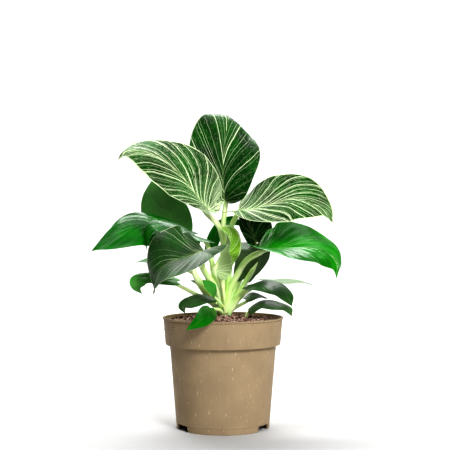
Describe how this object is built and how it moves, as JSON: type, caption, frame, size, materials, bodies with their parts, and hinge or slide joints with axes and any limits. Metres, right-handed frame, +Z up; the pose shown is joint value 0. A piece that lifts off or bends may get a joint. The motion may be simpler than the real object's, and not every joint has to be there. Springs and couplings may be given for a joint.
{
  "type": "potted birkin philodendron",
  "caption": "A bushy potted foliage plant with heart-shaped, cream-striped waxy leaves on pale stalks, growing from soil in a round tapered nursery pot with a collar rim.",
  "frame": {"origin": "centre of the bounding box in plan, on the floor under the pot's foot ring", "axes": "+Z is up along the plant, -Y is the side that faces the viewer in the picture, +X is the viewer's right"},
  "size_m": [0.2463, 0.1758, 0.3166],
  "materials": {
    "pot_plastic": "satin moulded recycled plastic, taupe with short pale flecks",
    "soil": "damp crumbly potting mix, no sheen",
    "stalk": "smooth juicy leaf stalks, pale yellow green",
    "leaf_dark": "waxy satin dark green blade with thin cream veins",
    "leaf_striped": "waxy satin green blade, densely striped cream",
    "leaf_green": "waxy glossy bright green blade, faint pale stripes",
    "leaf_young": "soft yellow green new blade"
  },
  "bodies": {
    "root": {"pot": "pot_plastic", "soil": "soil", "crown": "stalk", "side_shoot": "stalk", "leaf_top": "leaf_dark", "leaf_upper_left": "leaf_striped", "leaf_upper_right": "leaf_striped", "leaf_right": "leaf_green", "leaf_far_left": "leaf_green", "leaf_mid_left": "leaf_green", "leaf_front_left": "leaf_dark", "leaf_back_left": "leaf_green", "leaf_young": "leaf_young", "leaf_back_right": "leaf_dark", "leaf_dark_right": "leaf_dark", "leaf_low_right": "leaf_dark", "leaf_small_right": "leaf_dark", "leaf_far_right": "leaf_green", "leaf_low_left": "leaf_dark", "leaf_far_left_low": "leaf_green", "leaf_curl_left": "leaf_dark", "leaf_rim_front": "leaf_green", "leaf_cup": "leaf_dark", "leaf_back_centre": "leaf_green", "leaf_rear_right": "leaf_dark", "leaf_rear_left": "leaf_dark", "leaf_rim_right": "leaf_dark"}
  },
  "joints": []
}
